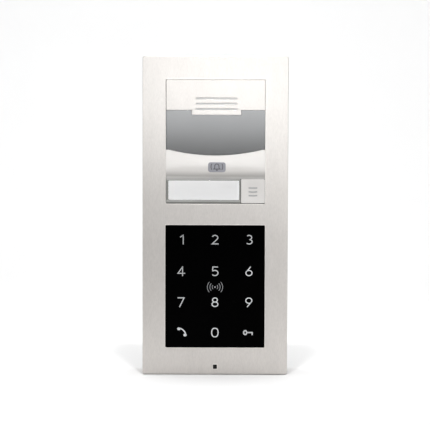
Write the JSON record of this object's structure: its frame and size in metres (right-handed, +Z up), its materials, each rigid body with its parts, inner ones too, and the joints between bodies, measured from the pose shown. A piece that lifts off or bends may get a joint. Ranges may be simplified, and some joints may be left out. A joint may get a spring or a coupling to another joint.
{
  "type": "door intercom panel",
  "caption": "Surface-mounted door intercom panel with a brushed metal frame, camera window, slotted loudspeaker, lit name plate, call button and black glass touch keypad.",
  "frame": {"origin": "centre of the wall face, in the plane that lies against the wall", "axes": "+Y into the wall, so the front faces -Y; +X to the right of someone facing the panel; +Z up"},
  "size_m": [0.107, 0.028, 0.234],
  "materials": {
    "brushed_nickel": "fine brushed nickel",
    "satin_silver": "satin silver coat",
    "black_glass": "glossy black, opaque from outside",
    "badge_grey": "satin grey",
    "dark_plastic": "fine texture",
    "grey_plastic": "satin",
    "button_silver": "satin silver coat",
    "card_white": "smooth card",
    "socket_white": "moulded",
    "clear_plastic": "clear polished plastic",
    "diffuser_white": "milky diffuser",
    "rubber_black": "moulded rubber",
    "foam_black": "closed-cell foam",
    "steel": "plain",
    "board_green": "solder mask",
    "terminal_green": "moulded",
    "coil_copper": "enamelled copper",
    "paper_black": "treated speaker paper",
    "led_clear": "clear tinted",
    "cable_grey": "flexible insulation"
  },
  "bodies": {
    "panel": {"back_box": "dark_plastic", "bus_cable": "cable_grey", "bus_socket_keypad": "socket_white", "bus_socket_main": "socket_white", "button_spring": "steel", "button_switch": "dark_plastic", "cable_grommet": "rubber_black", "camera_barrel": "dark_plastic", "camera_board": "board_green", "camera_lens": "black_glass", "camera_window": "black_glass", "cover_badge": "badge_grey", "faceplate": "brushed_nickel", "faceplate_seal": "foam_black", "frame_screw_left": "steel", "frame_screw_right": "steel", "infrared_led_left": "led_clear", "infrared_led_right": "led_clear", "keypad_back_cover": "dark_plastic", "keypad_board": "board_green", "keypad_glass": "black_glass", "keypad_housing": "dark_plastic", "keypad_light_guide": "diffuser_white", "keypad_screw_1": "steel", "keypad_screw_2": "steel", "keypad_screw_3": "steel", "keypad_screw_4": "steel", "keypad_touch_board": "board_green", "lower_cover": "satin_silver", "main_back_cover": "dark_plastic", "main_board": "board_green", "main_housing": "dark_plastic", "main_screw_1": "steel", "main_screw_2": "steel", "main_screw_3": "steel", "main_screw_4": "steel", "microphone": "steel", "microphone_boot": "rubber_black", "microphone_lead": "rubber_black", "microphone_plug": "socket_white", "name_card": "card_white", "nameplate_light_guide": "diffuser_white", "nameplate_tray": "grey_plastic", "network_jack": "steel", "reader_coil": "coil_copper", "speaker_basket": "steel", "speaker_cone": "paper_black", "speaker_cover": "brushed_nickel", "speaker_magnet": "steel", "speaker_mesh": "foam_black", "tamper_switch": "dark_plastic", "terminal_plug": "terminal_green", "terminal_socket": "terminal_green", "wall_gasket": "foam_black"},
    "button": {"call_button": "button_silver"},
    "plunger": {"button_plunger": "rubber_black"},
    "nameplate_window": {"nameplate_window": "clear_plastic"}
  },
  "joints": [
    {"name": "call_button_press", "type": "slide", "parent": "panel", "child": "button", "axis": [0, 1, 0], "range_m": [0, 0.001], "stiffness_N_per_m": 800, "deforming": ["button_spring"]},
    {"name": "button_plunger_press", "type": "slide", "parent": "panel", "child": "plunger", "axis": [0, 1, 0], "range_m": [0, 0.0008]},
    {"name": "nameplate_window_removal", "type": "slide", "parent": "panel", "child": "nameplate_window", "axis": [0, -1, 0], "range_m": [0, 0.012]}
  ],
  "couplings": [
    {"joint": "button_plunger_press", "follows": "call_button_press", "ratio": 0.8}
  ]
}
